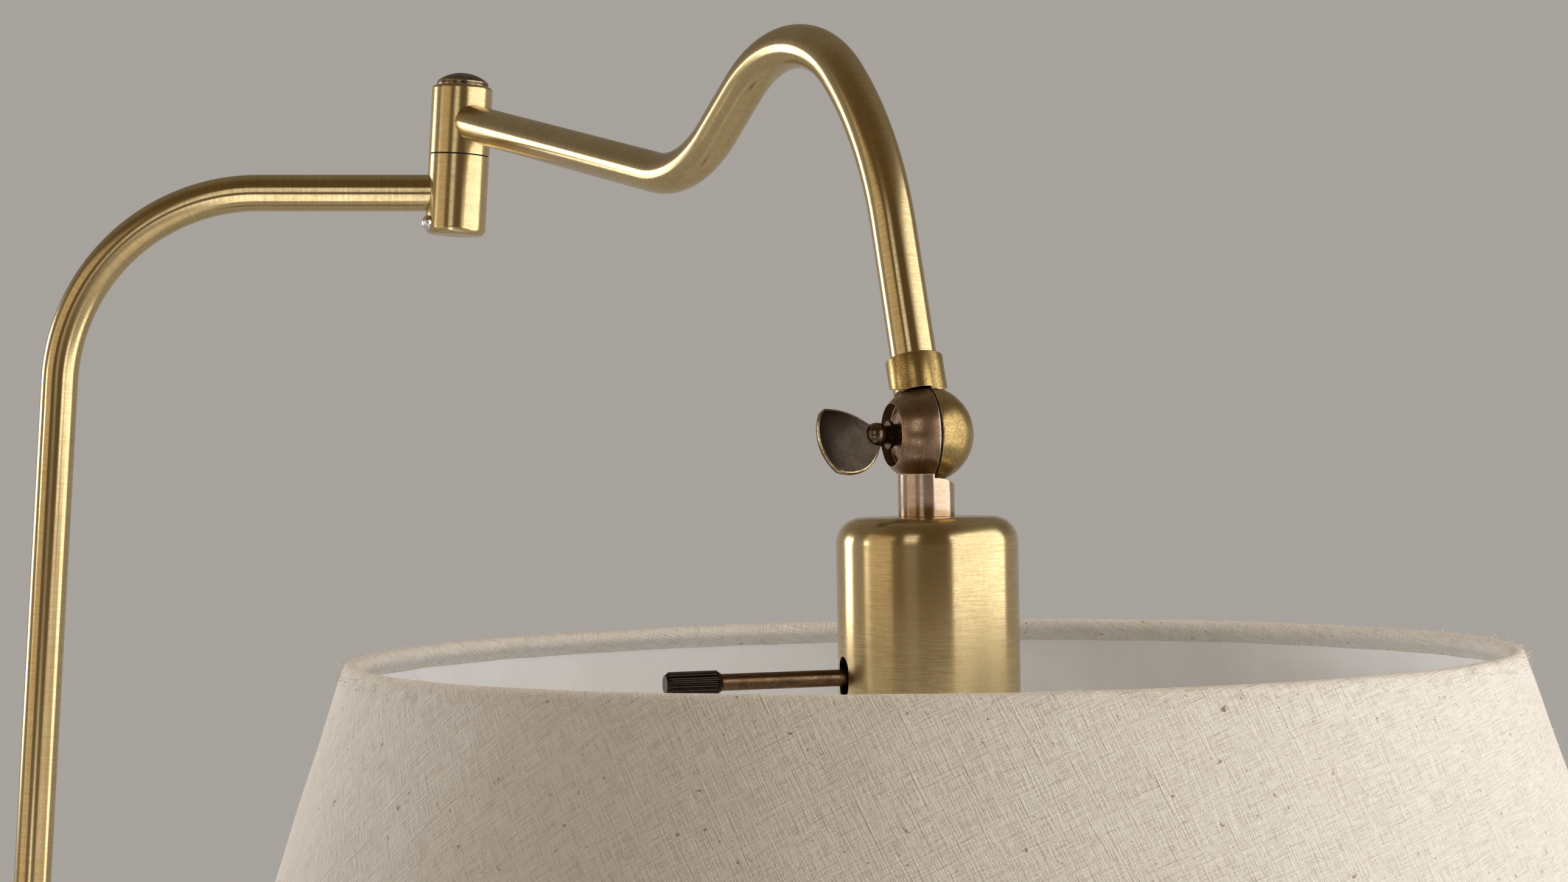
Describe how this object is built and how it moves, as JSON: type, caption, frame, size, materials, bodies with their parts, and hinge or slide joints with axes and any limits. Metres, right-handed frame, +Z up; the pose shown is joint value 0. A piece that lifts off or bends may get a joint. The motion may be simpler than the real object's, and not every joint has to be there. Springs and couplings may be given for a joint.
{
  "type": "bridge floor lamp",
  "caption": "Bridge floor lamp: round weighted foot, slim pole bent into an arm, knuckle, S-bent swing arm, ball swivel with wing screw, turn-key socket and conical fabric shade.",
  "frame": {"origin": "centre of the foot's pad, on the floor under the pole", "axes": "+Z up along the pole; +X the way the lower arm points; -Y the side that the upper arm swings towards at rest"},
  "size_m": [0.682, 0.6112, 1.4988],
  "materials": {
    "brass_tube": "aged brass tube, brushed round the tube",
    "brass_turned": "aged brass turning, lightly brushed",
    "brass_cast": "cast brass, golden with a grainy patina",
    "brown_bronze": "brown bronze, brushed",
    "brass_cup": "spun brass, brushed round the cup",
    "brass_base": "spun brass, brushed in circles",
    "dark_bronze": "dark bronze plating, worn on the edges",
    "socket_brass": "bright rolled brass",
    "bright_screw": "bright dome-headed screw",
    "plain_steel": "zinc-plated steel",
    "cast_weight": "black painted casting",
    "porcelain": "glazed porcelain, for which gloss plastic stands in",
    "fibre": "dark fibre washer",
    "black_pad": "felted rubber pad",
    "black_bush": "black moulded bush",
    "shade_wire": "white enamelled wire",
    "linen": "cream slubbed linen with brown flecks",
    "lining": "smooth white laminated lining"
  },
  "bodies": {
    "stand": {"base_pad": "black_pad", "base_weight": "cast_weight", "base_cover": "brass_base", "base_nipple": "plain_steel", "base_washer": "plain_steel", "base_nut": "plain_steel", "cord_inlet_bush": "black_bush", "pole_foot": "brass_cast", "foot_bush": "plain_steel", "pole_lower": "brass_tube", "coupler_low": "plain_steel", "pole_middle": "brass_tube", "coupler_high": "plain_steel", "pole_upper": "brass_tube", "knuckle_lower": "brass_turned", "pivot_pipe": "plain_steel", "swing_washer": "fibre", "knuckle_screw": "bright_screw", "pivot_washer": "plain_steel", "pivot_nut": "plain_steel"},
    "arm": {"knuckle_upper": "brass_turned", "knuckle_cap": "dark_bronze", "upper_arm": "brass_tube", "swivel_upper": "brass_cast"},
    "head": {"swivel_washer": "fibre", "swivel_lower": "brown_bronze", "clamp_washer": "dark_bronze", "socket_cup": "brass_cup", "cup_nut": "plain_steel", "socket_body": "porcelain", "screw_shell": "socket_brass", "centre_contact": "socket_brass", "retaining_ring": "socket_brass", "shade_spider": "shade_wire", "shade_top_ring": "shade_wire", "shade_bottom_ring": "shade_wire", "shade_cover": "linen", "shade_lining": "lining"},
    "screw": {"wing_screw": "dark_bronze"},
    "key": {"key_rod": "dark_bronze", "key_knob": "dark_bronze"}
  },
  "joints": [
    {"name": "arm_swing", "type": "hinge", "parent": "stand", "child": "arm", "pos_m": [0.1346, 0, 1.457], "axis": [0, 0, 1], "range_deg": [-40, 135]},
    {"name": "head_tilt", "type": "hinge", "parent": "arm", "child": "head", "pos_m": [0.29058, -0.24019, 1.3789], "axis": [0.9489, 0.309, 0.0647], "range_deg": [-45, 20]},
    {"name": "wing_screw_turn", "type": "hinge", "parent": "arm", "child": "screw", "pos_m": [0.29058, -0.24019, 1.3789], "axis": [0.9489, 0.309, 0.0647], "range_deg": [0, 360]},
    {"name": "switch_key_turn", "type": "hinge", "parent": "head", "child": "key", "pos_m": [0.25701, -0.25255, 1.31196], "axis": [0.9489, 0.309, 0.0647], "continuous": true}
  ]
}
